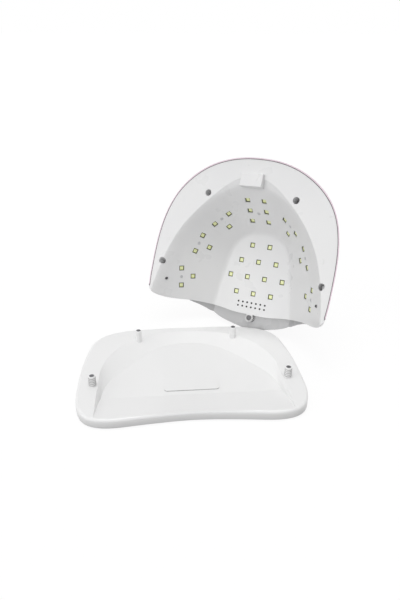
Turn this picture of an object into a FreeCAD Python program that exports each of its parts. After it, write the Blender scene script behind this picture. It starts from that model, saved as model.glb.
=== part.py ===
import FreeCAD, Part
import math
import os
from FreeCAD import Placement, Rotation, Vector

# A free-standing nail lamp in two halves: a domed housing tipped up on its front peak, and the
# base tray that lifts off it, laid flat in front. Millimetres, +Z up, the table at Z = 0.
# Housing pieces are drawn in the housing's own frame (rim plane at Z = 0, dome upwards, back at
# +Y) and then tipped into place together.

document = FreeCAD.newDocument("nail_lamp")
sheet = document.addObject("Spreadsheet::Sheet", "sizes")

SIZES = [
    # housing: dome and peak
    ("half_width", 107.5), ("dome_back", 97.0), ("dome_front", 72.0), ("dome_height", 88.0),
    ("peak_reach", 84.0), ("peak_level", 66.0), ("shell_wall", 2.0), ("visor_side", 64.2),
    ("panel_height", 83.5), ("panel_slope", 5.2), ("bow_start", 38.0), ("bow_length", 60.0),
    ("bow_drop", 7.0), ("rim_inset", 1.2), ("rim_gap", 0.25), ("rim_tuck", 0.3),
    # housing: bowl
    ("rim_thick", 2.4), ("bowl_wall", 2.2), ("roof_height", 53.6), ("roof_slope", 4.6),
    ("mouth_flare", 3.5), ("roof_round", 8.0), ("arch_gap", 0.4), ("arch_back", 60.0),
    ("lip_centre", 67.3), ("lip_side", 63.8), ("corner_front", 66.4), ("lip_screw_along", 71.0),
    ("flange_top", 44.0),
    ("key_width", 25.6), ("key_near", 66.0), ("key_far", 80.0), ("key_proud", 7.0),
    # pegs, wells and screws
    ("peg_rear_across", 52.0), ("peg_rear_along", 56.8), ("peg_front_across", 95.3),
    ("peg_front_along", -26.0), ("peg_bore", 7.4), ("peg_clear", 0.4), ("peg_reach", 11.0),
    ("well_wall", 1.2), ("well_floor", 1.4), ("screw_head", 5.6), ("screw_head_deep", 1.6),
    ("screw_shank", 2.6), ("screw_long", 5.5), ("screw_clear", 0.15), ("post_wall", 1.6),
    # LEDs
    ("lamp_size", 5.2), ("window_gap", 0.3), ("lamp_recess", 0.5), ("phosphor_size", 3.9),
    ("phosphor_deep", 0.5), ("board_thick", 1.4), ("board_gap", 0.3), ("board_round", 3.0),
    ("roof_pitch_across", 21.8), ("roof_pitch_along", 18.5),
    ("roof_first_row", 12.4), ("rear_pitch_across", 20.0), ("rear_pitch_up", 14.6),
    ("trio_half_base", 10.2), ("trio_rise", 14.0), ("board_margin", 4.5), ("board_screw", 3.2),
    ("vent_bore", 1.7), ("vent_pitch", 5.6), ("vent_row_pitch", 5.0), ("vent_along", 54.0),
    ("eye_bore", 3.2), ("eye_along", 45.0), ("eye_level", 11.0),
    # control panel
    ("display_long", 40.0), ("display_wide", 20.0), ("display_along", 20.0), ("window_thick", 1.0),
    ("button_round", 11.0), ("button_gap", 0.35), ("button_pitch", 15.5), ("button_along", 53.0),
    ("button_proud", 1.0), ("button_travel", 0.6), ("button_flange", 1.2), ("button_under", 0.4),
    ("switch_size", 6.0), ("switch_body", 3.6), ("control_depth", 9.0), ("control_wide", 58.0),
    ("control_long", 67.0), ("control_thick", 1.6), ("control_post", 4.0),
    # rear socket
    ("socket_level", 15.0), ("socket_bore", 5.6), ("socket_pin", 2.1), ("socket_barrel", 8.0),
    ("socket_long", 14.0), ("socket_floor", 3.0),
    # tray
    ("deck_height", 10.5), ("tray_foot", 1.0), ("tray_wall", 2.2), ("floor_top", 3.2),
    ("tray_round", 2.6), ("magnet_round", 4.8), ("magnet_thick", 1.6), ("peg_chamfer", 0.5),
    ("foot_round", 12.0), ("guide_gap", 0.6), ("guide_thick", 1.8), ("guide_long", 3.6),
    ("plate_wide", 54.0), ("plate_long", 34.0), ("plate_front", 32.0), ("plate_rise", 0.8),
    ("plate_round", 3.5), ("ramp_start", 38.0), ("ramp_slope", 10.6),
    # standing position of the housing on the table
    ("stand_yaw", 143.9), ("stand_pitch", 4.0), ("stand_roll", 118.7), ("stand_across", 59.5),
    ("stand_along", 75.5),
]
for row, (alias, value) in enumerate(SIZES, start=1):
    sheet.set("A%d" % row, alias)
    sheet.set("B%d" % row, str(value))
    sheet.setAlias("B%d" % row, alias)
document.recompute()


def size(alias):
    return float(sheet.get(alias))


# ---------------------------------------------------------------- curves and solids
def mirrored(half):
    """A closed outline from its right half, listed from the back middle to the front middle."""
    return half + [(-x, y) for x, y in reversed(half) if x > 0]


def moved_out(points, distance, closed=True):
    """The same points moved square to the outline, outwards where distance is positive."""
    count = len(points)
    result = []
    for i, (x, y) in enumerate(points):
        before = points[(i - 1) % count] if closed or i > 0 else points[i]
        after = points[(i + 1) % count] if closed or i < count - 1 else points[i]
        along_x, along_y = after[0] - before[0], after[1] - before[1]
        length = math.hypot(along_x, along_y)
        result.append((x - along_y / length * distance, y + along_x / length * distance))
    return result


def closed_wire(points, level):
    curve = Part.BSplineCurve()
    curve.interpolate([Vector(x, y, level) for x, y in points], PeriodicFlag=True)
    return Part.Wire(curve.toShape())


def open_wire(points, level):
    """A curve round the back of a space, closed by a straight line across its front."""
    curve = Part.BSplineCurve()
    curve.interpolate([Vector(x, y, level) for x, y in points])
    ends = [Vector(points[-1][0], points[-1][1], level), Vector(points[0][0], points[0][1], level)]
    return Part.Wire([curve.toShape(), Part.LineSegment(*ends).toShape()])


def prism(points, low, high):
    return Part.Face(closed_wire(points, low)).extrude(Vector(0, 0, high - low))


REACH = 400.0  # larger than the lamp, for the solids that only cut


def below_plane(height, slope):
    """Everything under a plane that passes over the origin at height and rises backwards."""
    block = Part.makeBox(REACH, REACH, REACH, Vector(-REACH / 2, -REACH / 2, -REACH))
    block.Placement = Placement(Vector(0, 0, height), Rotation(Vector(1, 0, 0), slope))
    return block


def below_bow(lift):
    """Everything under the parting line, which is flat and then bows down towards the back."""
    start, length, drop = size("bow_start"), size("bow_length"), size("bow_drop")
    bend = Part.BezierCurve()
    end = Vector(0, start + length, lift - drop)
    bend.setPoles([Vector(0, start, lift), Vector(0, start + length / 2, lift), end])
    corners = [end, Vector(0, REACH / 2, lift - drop), Vector(0, REACH / 2, -REACH / 4),
               Vector(0, -REACH / 2, -REACH / 4), Vector(0, -REACH / 2, lift), Vector(0, start, lift)]
    edges = [bend.toShape()] + [Part.LineSegment(a, b).toShape() for a, b in zip(corners, corners[1:])]
    face = Part.Face(Part.Wire(edges))
    return face.extrude(Vector(REACH, 0, 0)).translated(Vector(-REACH / 2, 0, 0))


def bow_level(along):
    share = max(0.0, along - size("bow_start")) / size("bow_length")
    return -size("bow_drop") * share ** 2


def rod(radius, start, direction, length):
    return Part.makeCylinder(radius, length, start, direction)


def fuse_all(shapes):
    return shapes[0].multiFuse(shapes[1:]).removeSplitter() if len(shapes) > 1 else shapes[0]


# ---------------------------------------------------------------- the housing's forms
def dome_outline(inset):
    wide, back, front = size("half_width"), size("dome_back"), size("dome_front")
    half = [(0, back), (0.26 * wide, 0.975 * back), (0.5 * wide, 0.89 * back), (0.71 * wide, 0.74 * back),
            (0.87 * wide, 0.53 * back), (0.96 * wide, 0.27 * back), (0.995 * wide, 0),
            (wide, -0.42 * front), (0.99 * wide, -0.75 * front), (0.955 * wide, -0.92 * front),
            (0.86 * wide, -front), (0.42 * wide, -front), (0, -front)]
    return moved_out(mirrored(half), -inset)


def dome_section(level, inset):
    """The dome's outline at one level: it draws in towards the top and runs out to the peak."""
    height, front, peak = size("dome_height") - inset, size("dome_front"), size("peak_level")
    reach = size("peak_reach") - inset
    share = max(0.0, level) / height
    across = (1 - share ** 1.25) ** 0.55
    backward = (1 - share ** 2.6) ** 0.55
    if level <= peak:
        forward = front + (reach - front) * max(0.0, level) / peak
    else:
        forward = reach * (1 - ((level - peak) / (height - peak)) ** 2.2) ** 0.5
    taper = 0.25 * min(1.0, max(0.0, level) / peak)
    section = []
    for x, y in dome_outline(inset):
        rounding = 1 - taper * (x / size("half_width")) ** 2
        section.append((x * across, y * backward if y > 0 else y / front * forward * rounding))
    return section


def dome(inset, lowest):
    height = size("dome_height") - inset
    shares = (0.1, 0.22, 0.36, 0.5, 0.63, 0.75, 0.85, 0.92, 0.965, 0.99)
    levels = [lowest, 0.0] + [height * share for share in shares]
    wires = [closed_wire(dome_section(level, inset), level) for level in levels]
    solid = Part.makeLoft(wires, True, False)
    return solid.common(below_plane(size("panel_height") - inset, size("panel_slope")))


def hand_space(spread, lowest, roof_lift):
    """The space for the hand, open in front: its walls lean in from the rim to a flat roof."""
    mouth = [(101, -110), (100, -70), (95, -42), (82, 0), (60, 34), (33, 57), (0, 67)]
    roof = [(50, -110), (48, -70), (42, -42), (34, -12), (28, 7), (16, 17), (0, 20)]
    roof_level = 60.0
    wires = []
    for level in (lowest, 0.0, 3.0, 9.0, 18.0, 28.0, 38.0, 48.0, 56.0, 64.0):
        rise = max(0.0, level)
        right = []
        for i, ((x0, y0), (x1, y1)) in enumerate(zip(mouth, roof)):
            lean = (rise / roof_level) ** (1.6 - 0.09 * i)
            right.append((x0 + (x1 - x0) * lean, y0 + (y1 - y0) * lean))
        full = right + [(-x, y) for x, y in reversed(right[:-1])]
        grow = spread + size("mouth_flare") * math.exp(-rise / 3.5)
        wires.append(open_wire(moved_out(full, -grow, closed=False), level))
    solid = Part.makeLoft(wires, True, False)
    return solid.common(below_plane(size("roof_height") + roof_lift, -size("roof_slope")))


def behind_curve(half):
    """Everything behind a curve in plan, given from the middle of the front to the right."""
    low, high = -40, 100
    curve = Part.BSplineCurve()
    points = [(-x, y) for x, y in reversed(half[1:])] + half
    curve.interpolate([Vector(x, y, low) for x, y in points])
    wide, front = half[-1]
    far = [Vector(x, y, low) for x, y in ((wide, front), (wide, 150), (-wide, 150), (-wide, front))]
    edges = [curve.toShape()] + [Part.LineSegment(a, b).toShape() for a, b in zip(far, far[1:])]
    return Part.Face(Part.Wire(edges)).extrude(Vector(0, 0, high - low))


def behind_bowl_front(setback):
    """The bowl's front: a lip that swells forward in the middle, and rounded corners at the sides."""
    wide, middle = size("half_width"), size("lip_centre")
    side, corner = size("lip_side"), size("corner_front")
    half = [(0, middle), (0.2, middle - 0.3), (0.36, side + 1.0), (0.53, side), (0.7, side + 0.8),
            (0.86, corner), (0.925, corner - 1.7), (0.975, corner - 6.5), (1.03, corner - 18.0)]
    return behind_curve([(share * wide, setback - reach) for share, reach in half])


def behind_visor():
    """The shell's front: flush with the bowl at the sides, and reaching forward to the peak."""
    wide, side, reach = size("half_width"), size("visor_side"), size("peak_reach") + 1.0
    half = [(0, reach), (0.15, 0.985 * reach), (0.29, 0.945 * reach), (0.45, 0.86 * reach),
            (0.6, side + 2.5), (0.75, side), (1.2, side)]
    return behind_curve([(share * wide, -along) for share, along in half])


UP = Vector(0, 0, 1)
LOWEST = -14.0
PEGS = [(side * size("peg_%s_across" % end), size("peg_%s_along" % end))
        for end in ("rear", "front") for side in (1, -1)]
wall, bowl_wall = size("shell_wall"), size("bowl_wall")
space = hand_space(0.0, LOWEST, 0.0)
tops = [edge for edge in space.Edges if all(abs(v.Z - LOWEST) > 30 for v in edge.Vertexes)
        and edge.BoundBox.YMax > -90 and edge.Length > 60]
space = space.makeFillet(size("roof_round"), tops)


# ---------------------------------------------------------------- frames that pieces lie in
class Frame:
    """A place on a surface: across and up lie in it, out points away from it."""

    def __init__(self, origin, across, out):
        self.place = Placement(origin, Rotation(across, out.cross(across), out, "ZXY"))

    def point(self, across, up, out):
        return self.place.multVec(Vector(across, up, out))

    def block(self, across, up, wide, high, low_out, high_out):
        corner = Vector(across - wide / 2, up - high / 2, low_out)
        box = Part.makeBox(wide, high, high_out - low_out, corner)
        box.Placement = self.place
        return box

    def rod(self, across, up, radius, low_out, high_out):
        pin = Part.makeCylinder(radius, high_out - low_out, Vector(across, up, low_out))
        pin.Placement = self.place
        return pin


def wall_point(azimuth, level):
    """Where a level ray from the middle of the roof meets the bowl's inner wall; 0 is the back."""
    middle = Vector(0, -12, level)
    turn = math.radians(azimuth)
    far = middle + Vector(math.sin(turn), math.cos(turn), 0) * 150
    ray = Part.LineSegment(middle, far).toShape().common(space)
    return max((v.Point for v in ray.Vertexes), key=lambda p: p.distanceToPoint(middle))


def wall_frame(azimuth, level, spread=9.0, rise=7.0):
    """A frame tangent to the bowl's inner wall, out towards the hand."""
    across = wall_point(azimuth + spread, level) - wall_point(azimuth - spread, level)
    upward = wall_point(azimuth, level + rise) - wall_point(azimuth, level - rise)
    out = upward.cross(across)
    if out.dot(Vector(0, -12, level) - wall_point(azimuth, level)) < 0:
        out = out.negative()
    across = upward.cross(out)
    return Frame(wall_point(azimuth, level), across.normalize(), out.normalize())


slope = math.radians(size("roof_slope"))
roof = Frame(Vector(0, 0, size("roof_height")), Vector(1, 0, 0),
             Vector(0, -math.sin(slope), -math.cos(slope)))
tilt = math.radians(size("panel_slope"))
panel = Frame(Vector(0, 0, size("panel_height")), Vector(1, 0, 0),
              Vector(0, -math.sin(tilt), math.cos(tilt)))
TRIOS = {"rear": 42.5, "middle": 77.5, "front": 109.0}
TRIO_LEVEL = 27.5
REAR_LEVEL = 26.5

# Each group of LEDs: its frame, the places of its LEDs in it, its board's width, height and
# middle, and the place of the screw that the hand side shows (none on the roof).
across, along = size("roof_pitch_across"), size("roof_pitch_along")
roof_lamps = [(column * across, row * along - size("roof_first_row"))
              for row, columns in enumerate([(-0.5, 0.5), (-1, 0, 1), (-1.5, -0.5, 0.5, 1.5), (-1, 0, 1)])
              for column in columns]
margin = size("board_margin") * 2
groups = {"roof": (roof, roof_lamps, 3 * across + margin, 3 * along + margin,
                   1.5 * along - size("roof_first_row"), None)}
rear_across, rear_up = size("rear_pitch_across"), size("rear_pitch_up")
rear_lamps = [(side * rear_across / 2, row * rear_up) for row in (-1, 0, 1) for side in (-1, 1)]
groups["rear"] = (wall_frame(0, REAR_LEVEL), rear_lamps,
                  rear_across + margin, 2 * rear_up + margin, 0.0, rear_up / 4)
half_base, rise = size("trio_half_base"), size("trio_rise")
trio_lamps = [(-half_base, -rise / 3), (half_base, -rise / 3), (0, 2 * rise / 3)]
for side, sign in (("left", 1), ("right", -1)):
    for name, azimuth in TRIOS.items():
        groups["%s_%s" % (side, name)] = (wall_frame(sign * azimuth, TRIO_LEVEL), trio_lamps,
                                          2 * half_base + margin, rise + margin, rise / 6, -rise / 3)

pieces = []


def piece(label, shape, place):
    """A named piece of the lamp; housing pieces are tipped into place further down."""
    pieces.append((label, shape, place))


def rounded_corners(block, thick, radius):
    """A flat block with its four upright edges rounded."""
    return block.makeFillet(radius, [edge for edge in block.Edges if abs(edge.Length - thick) < 0.01])


# ---------------------------------------------------------------- housing: LED boards and lamps
lamp, gap, recess = size("lamp_size"), size("window_gap"), size("lamp_recess")
face_size, face_deep = size("phosphor_size"), size("phosphor_deep")
board_front = -(bowl_wall + size("board_gap"))
board_back = board_front - size("board_thick")
head, head_deep = size("board_screw") / 2, 1.2
windows, lamps, faces, board_screws = [], {}, {}, []
for name, (frame, places, wide, high, middle, screw) in groups.items():
    board = frame.block(0, middle, wide, high, board_back, board_front)
    board = rounded_corners(board, size("board_thick"), size("board_round"))
    bank = name.split("_")[0]
    for x, y in places:
        windows.append(frame.block(x, y, lamp + 2 * gap, lamp + 2 * gap, board_front - 1, 5))
        pocket = frame.block(x, y, face_size, face_size, -recess - face_deep, -recess)
        lamps.setdefault(bank, []).append(frame.block(x, y, lamp, lamp, board_front, -recess).cut(pocket))
        faces.setdefault(bank, []).append(pocket)
    if screw is not None:
        board = board.cut(frame.rod(0, screw, 0.55 * head, board_back - 1, board_front + 1))
        windows.append(frame.rod(0, screw, head + 0.15, -head_deep - 0.1, 5))
        windows.append(frame.rod(0, screw, 0.55 * head, board_front - 1, 0))
        shank = frame.rod(0, screw, 0.5 * head, board_back - 1.5, -head_deep)
        board_screws.append(frame.rod(0, screw, head, -head_deep, -0.1).fuse(shank))
    piece(name + "_board", board, "housing")
for bank in lamps:
    piece(bank + "_leds", Part.makeCompound(lamps[bank]), "housing")
    piece(bank + "_phosphors", Part.makeCompound(faces[bank]), "housing")
piece("board_screws", Part.makeCompound(board_screws), "housing")

# ---------------------------------------------------------------- housing: wells, posts and screws
bore, clear, shank = size("peg_bore") / 2, size("screw_clear"), size("screw_shank") / 2
seat = size("peg_reach") + size("peg_clear") + size("screw_head_deep")
well_top = seat + size("well_floor")
wells, bores, posts, pilots, rim_screws = [], [], [], [], []
skin = dome(wall / 2, LOWEST)
for x, y in PEGS:
    rim_level = bow_level(y)
    wells.append(rod(bore + size("well_wall"), Vector(x, y, rim_level + 1), UP, well_top - rim_level - 1))
    bores.append(rod(bore, Vector(x, y, LOWEST), UP, seat - LOWEST))
    bores.append(rod(shank + clear, Vector(x, y, seat), UP, well_top))
    post_start = Vector(x, y, well_top)
    posts.append(rod(shank + size("post_wall"), post_start, UP, 90).common(skin))
    pilots.append(rod(shank, post_start, UP, size("screw_long") - size("well_floor")))
    head_deep = size("screw_head_deep")
    screw = rod(size("screw_head") / 2, Vector(x, y, seat - head_deep), UP, head_deep)
    for w, d in ((3.2, 0.8), (0.8, 3.2)):
        screw = screw.cut(Part.makeBox(w, d, 2, Vector(x - w / 2, y - d / 2, seat - head_deep / 2 - 2)))
    rim_screws.append(screw.fuse(rod(shank, Vector(x, y, seat), UP, size("screw_long"))))
piece("rim_screws", Part.makeCompound(rim_screws), "housing")

# The lip screw holds the middle of the lip up to the peak, from a small tab.
lip_under = size("roof_height") + math.tan(slope) * size("lip_screw_along")
tab_low = lip_under - 1.0
tab_high = lip_under + bowl_wall - 0.3
lip = Vector(0, -size("lip_screw_along"), 0)
tab = rod(size("screw_head") / 2 + 2.2, lip + UP * tab_low, UP, tab_high - tab_low)
tab_bore = rod(size("screw_head") / 2 + 0.3, lip + UP * (tab_low - 5), UP, 5 + size("screw_head_deep"))
tab_hole = rod(shank + clear, lip + UP * tab_low, UP, 9)
lip_seat = tab_low + size("screw_head_deep")
lip_screw = rod(size("screw_head") / 2, lip + UP * tab_low, UP, size("screw_head_deep"))
lip_screw = lip_screw.fuse(rod(shank, lip + UP * lip_seat, UP, size("screw_long")))
piece("lip_screw", lip_screw, "housing")

# ---------------------------------------------------------------- housing: lamp bowl
rim_thick, rim_inset, rim_gap = size("rim_thick"), size("rim_inset"), size("rim_gap")
rim = prism(dome_outline(rim_inset + rim_gap), LOWEST, 20).common(below_bow(rim_thick))
bowl = fuse_all([hand_space(bowl_wall, LOWEST, bowl_wall)] + wells)
bowl = bowl.common(dome(wall + size("rim_tuck"), LOWEST - 1))
outside = dome(0.0, LOWEST)
flange = outside.cut(behind_bowl_front(bowl_wall)).common(below_plane(size("flange_top"), 0.0))
bowl = fuse_all([rim, bowl, flange]).common(behind_bowl_front(0.0)).cut(below_bow(0.0)).cut(space)
key_block = Part.makeBox(size("key_width"), size("key_far") - size("key_near"), size("key_proud") + 2,
                         Vector(-size("key_width") / 2, size("key_near"), -size("key_proud")))
key_block = key_block.makeFillet(0.8, [edge for edge in key_block.Edges if edge.BoundBox.ZMax < 1.9])
bowl = bowl.fuse([key_block, tab.cut(space.common(behind_bowl_front(0.0)))])
vents = []
for row in (0, 1):
    for column in range(-3, 4):
        across, along = column * size("vent_pitch"), size("vent_along") + row * size("vent_row_pitch")
        vents.append(roof.rod(across, along, size("vent_bore") / 2, -6, 2))
eyes = []
for label, sign in (("infrared_emitter", 1), ("infrared_receiver", -1)):
    level = Vector(0, -size("eye_along"), size("eye_level"))
    ray = Part.LineSegment(level, level + Vector(sign * 150, 0, 0)).toShape().common(space)
    start = max((v.Point for v in ray.Vertexes), key=lambda p: abs(p.x))
    outward = Vector(sign, 0, 0)
    eyes.append(rod(size("eye_bore") / 2 + 0.1, start - outward * 6, outward, 12))
    bulb = rod(size("eye_bore") / 2, start, outward, bowl_wall + 3.6)
    bulb = bulb.fuse(Part.makeSphere(size("eye_bore") / 2, start))
    collar = rod(size("eye_bore") / 2 + 0.7, start + outward * (bowl_wall + 2.2), outward, 1.0)
    piece(label, bulb.fuse(collar).removeSplitter(), "housing")
bowl = bowl.cut(windows + bores + vents + eyes + [tab_bore, tab_hole])
piece("lamp_bowl", bowl, "housing")

# ---------------------------------------------------------------- housing: outer shell
front_room = Part.makeBox(REACH, REACH, REACH, Vector(-REACH / 2, -REACH - size("arch_back"), -REACH / 2))
arch_lift = bowl_wall + size("arch_gap")
arch = hand_space(arch_lift, LOWEST, arch_lift).common(front_room)
lining = hand_space(arch_lift + wall, LOWEST, arch_lift + wall).common(front_room)
lining = lining.cut(below_plane(size("flange_top"), 0.0))
rebate = prism(dome_outline(rim_inset), LOWEST, 20).common(below_bow(rim_thick + rim_gap))
flange_room = below_plane(size("flange_top") + rim_gap, 0.0).cut(behind_bowl_front(bowl_wall + rim_gap))
shell = outside.common(behind_visor()).cut(dome(wall, LOWEST - 1).cut(lining))
shell = shell.cut([arch, rebate, flange_room])
lip_post = rod(shank + size("post_wall"), lip + UP * (lip_under + arch_lift), UP, 20).common(skin)
shell = shell.fuse(posts + [lip_post]).cut(below_bow(0.0))
display, buttons_along = size("display_along"), -size("button_along")
window_wide, window_high = size("display_long"), size("display_wide")
window = panel.block(0, -display, window_wide, window_high, -size("window_thick"), 0)
window = rounded_corners(window, size("window_thick"), size("board_round"))
sight = panel.block(0, -display, window_wide - 4, window_high - 4, -wall - 1, 0)
button_places = [(-1.5, "10s"), (-0.5, "30s"), (0.5, "60s"), (1.5, "99s")]
button_radius = size("button_round") / 2
hole_radius = button_radius + size("button_gap")
holes = [panel.rod(column * size("button_pitch"), buttons_along, hole_radius, -wall - 3, 3)
         for column, _ in button_places]
control_under = -size("control_depth")
post_edge = size("control_post")
corner_posts = [(side * (size("control_wide") / 2 - post_edge), -along_panel)
                for side in (1, -1) for along_panel in (post_edge, size("control_long") - post_edge)]
struts = [panel.rod(x, y, 2.6, control_under, -wall / 2) for x, y in corner_posts]
strut_holes = [panel.rod(x, y, 1.0, control_under - 1, control_under + 5) for x, y in corner_posts]
socket_level, barrel = size("socket_level"), size("socket_barrel") / 2
socket_face = size("dome_back") - 0.9
back = Vector(0, 1, 0)
socket_seat = rod(7.0, Vector(0, socket_face, socket_level), back, 10)
socket_hole = rod(barrel + 0.15, Vector(0, socket_face - 10, socket_level), back, 20)
slots = []
for side in (1, -1):
    for count in range(4):
        slot = Part.makeBox(11, 30, 1.6, Vector(-5.5, 75, socket_level - 6 + 4 * count))
        slots.append(slot.translated(Vector(side * 24, 0, 0)))
shell = shell.fuse(struts)
shell = shell.cut([window, sight, socket_seat, socket_hole] + holes + strut_holes + pilots + slots
                  + [rod(shank, lip + UP * lip_seat, UP, size("screw_long"))])
piece("outer_shell", shell, "housing")
piece("display_window", window, "housing")

# ---------------------------------------------------------------- housing: controls
board_low = control_under - size("control_thick")
control_middle = -size("control_long") / 2
control_wide, control_long = size("control_wide"), size("control_long")
control = panel.block(0, control_middle, control_wide, control_long, board_low, control_under)
control = control.cut([panel.rod(x, y, 1.3, board_low - 1, control_under + 1) for x, y in corner_posts])
piece("control_board", control, "housing")
control_screws = [panel.rod(x, y, 2.2, board_low - 1.3, board_low)
                  .fuse(panel.rod(x, y, 1.0, board_low, control_under + 4)) for x, y in corner_posts]
piece("control_board_screws", Part.makeCompound(control_screws), "housing")
module = panel.block(0, -display, window_wide + 2, window_high, control_under, -wall - 0.3)
piece("display_module", module, "housing")
switch, switch_top = size("switch_size"), control_under + size("switch_body")
plunger_top = switch_top + 1.0
flange_top = -wall - size("button_under")
proud = size("button_proud")
switches = []
for column, mark in button_places:
    x = column * size("button_pitch")
    body = panel.block(x, buttons_along, switch, switch, control_under, switch_top)
    switches.append(body.fuse(panel.rod(x, buttons_along, 1.7, switch_top, plunger_top)))
    cap = panel.rod(x, buttons_along, button_radius, flange_top - 0.1, proud)
    top = panel.point(x, buttons_along, proud)
    top_edges = [edge for edge in cap.Edges
                 if edge.Closed and edge.CenterOfMass.distanceToPoint(top) < 0.01]
    cap = cap.makeFillet(0.6, top_edges)
    flange_low = flange_top - size("button_flange")
    flange = panel.rod(x, buttons_along, button_radius + 1.2, flange_low, flange_top)
    stem = panel.rod(x, buttons_along, 2.2, plunger_top + size("button_travel") + 0.1, flange_top - 0.5)
    piece("button_" + mark, cap.fuse([flange, stem]).removeSplitter(), "housing")
piece("tact_switches", Part.makeCompound(switches), "housing")
piece("microcontroller", panel.block(-12, control_middle, 10, 10, board_low - 1.7, board_low), "housing")
piece("power_inductor", panel.rod(8, control_middle + 14, 5.0, board_low - 4.5, board_low), "housing")
cans = [panel.rod(14, control_middle - 4 - 9 * n, 3.2, board_low - 5.5, board_low) for n in (0, 1)]
piece("capacitors", Part.makeCompound(cans), "housing")

# ---------------------------------------------------------------- housing: rear socket
inner_back = socket_face - size("socket_long")
body = rod(barrel, Vector(0, inner_back, socket_level), back, size("socket_long"))
body = body.fuse(rod(5.6, Vector(0, socket_face, socket_level), back, 1.0))
pin_start = Vector(0, inner_back + size("socket_floor"), socket_level)
body = body.cut(rod(size("socket_bore") / 2, pin_start, back, 20))
piece("dc_socket", body.removeSplitter(), "housing")
pin_long = size("socket_long") - size("socket_floor") - 1.0
piece("dc_socket_pin", rod(size("socket_pin") / 2, pin_start, back, pin_long), "housing")
nut_face = Vector(0, socket_face - wall - 0.7, socket_level)
corners = [nut_face + Vector(math.cos(math.radians(60 * k)), 0, math.sin(math.radians(60 * k))) * 6.4
           for k in range(7)]
nut = Part.Face(Part.makePolygon(corners)).extrude(Vector(0, -2.4, 0))
piece("dc_socket_nut", nut.cut(rod(barrel, Vector(0, inner_back - 5, socket_level), back, 30)), "housing")

# ---------------------------------------------------------------- tray
deck, foot, tray_wall, floor = size("deck_height"), size("tray_foot"), size("tray_wall"), size("floor_top")
tray_half = [(0, 87.5), (38, 86.8), (66, 83), (86, 74), (98, 60), (105, 36), (108.8, 8), (110, -25),
             (108, -56), (98.5, -73.5), (82, -79.8), (60, -79), (30, -76), (0, -74.5)]
tray_outline = mirrored(tray_half)
block = prism(tray_outline, foot, deck + 2).common(below_bow(deck))
upper = [edge for edge in block.Edges if edge.BoundBox.ZMax > foot + 6 and edge.BoundBox.YLength > 5]
block = block.makeFillet(size("tray_round"), upper)
block = block.makeFillet(1.0, [edge for edge in block.Edges if edge.BoundBox.ZMax < foot + 0.1])


def basin(grow, bottom, top):
    """The hollow of the tray, open in front: from the floor's edge out to the deck's edge."""
    floor_edge = [(88, -110), (88, -60), (87, -36), (81, -12), (71, 4), (58, 21), (43, 38), (27, 50),
                  (0, 57)]
    deck_edge = [(92, -110), (91, -60), (90.5, -36), (88.5, -12), (86, 6), (77, 33), (63, 53), (38, 75),
                 (0, 83)]
    wires = []
    for level in (bottom, top):
        share = (level - floor) / (deck - floor)
        right = [(x0 + (x1 - x0) * share, y0 + (y1 - y0) * share)
                 for (x0, y0), (x1, y1) in zip(floor_edge, deck_edge)]
        full = right + [(-x, y) for x, y in reversed(right[:-1])]
        wires.append(open_wire(moved_out(full, -grow, closed=False), level))
    return Part.makeLoft(wires, True, True)


ramp_rise = math.tan(math.radians(size("ramp_slope"))) * size("ramp_start")
ramp = below_plane(floor - ramp_rise, -size("ramp_slope"))
hollow = basin(0.0, floor, deck + 3).cut(ramp)
tray = block.cut(hollow)
under = prism(moved_out(tray_outline, -tray_wall), foot - 5, deck + 2).common(below_bow(deck - tray_wall))
tray = tray.cut(under.cut(basin(tray_wall, foot - 5.5, deck + 3)))
pegs, magnets, sockets = [], [], []
peg_radius = size("peg_bore") / 2 - size("peg_clear")
peg_top = deck + size("peg_reach")
for x, y in PEGS:
    peg = rod(peg_radius, Vector(x, y, foot + 2), UP, peg_top - foot - 2)
    rims = [edge for edge in peg.Edges if edge.Closed and edge.CenterOfMass.z > peg_top - 0.01]
    pegs.append(peg.makeChamfer(size("peg_chamfer"), rims))
    magnet_low = Vector(x, y, peg_top - size("magnet_thick"))
    magnets.append(rod(size("magnet_round") / 2, magnet_low, UP, size("magnet_thick")))

# Two ribs on the back wall stand either side of the housing's key block.
guide_thick = size("guide_thick")
rib = Part.makeBox(guide_thick, 12, 30, Vector(-guide_thick / 2, 81 - size("guide_long"), foot + 1))
rib_across = size("key_width") / 2 + size("guide_gap") + guide_thick / 2
guides = [rib.translated(Vector(side * rib_across, 0, 0)).common(below_bow(deck - 0.6)).common(hollow)
          for side in (1, -1)]

# A low plate on the floor: a wedge that stands proud in front and runs out backwards.
plate_front, plate_back = -size("plate_front"), size("plate_long") - size("plate_front")
plate_left, sunk = -size("plate_wide") / 2, floor - 0.5
profile = [(plate_front, sunk), (plate_front, floor + size("plate_rise")), (plate_back, floor),
           (plate_back, sunk), (plate_front, sunk)]
profile = [Vector(plate_left, y, z) for y, z in profile]
plate = Part.Face(Part.makePolygon(profile)).extrude(Vector(size("plate_wide"), 0, 0))
front_corners = [edge for edge in plate.Edges
                 if edge.BoundBox.YMax < plate_front + 0.01 and edge.BoundBox.XLength < 0.01]
plate = plate.makeFillet(size("plate_round"), front_corners)
tray = tray.fuse(pegs + guides + [plate]).cut(magnets)
piece("tray_shell", tray, "tray")
piece("peg_magnets", Part.makeCompound(magnets), "tray")
feet = [rod(size("foot_round") / 2, Vector(side * x, y, 0), UP, foot)
        for side in (1, -1) for x, y in ((64, -55), (50, 22))]
piece("tray_feet", Part.makeCompound(feet), "tray")

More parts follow.
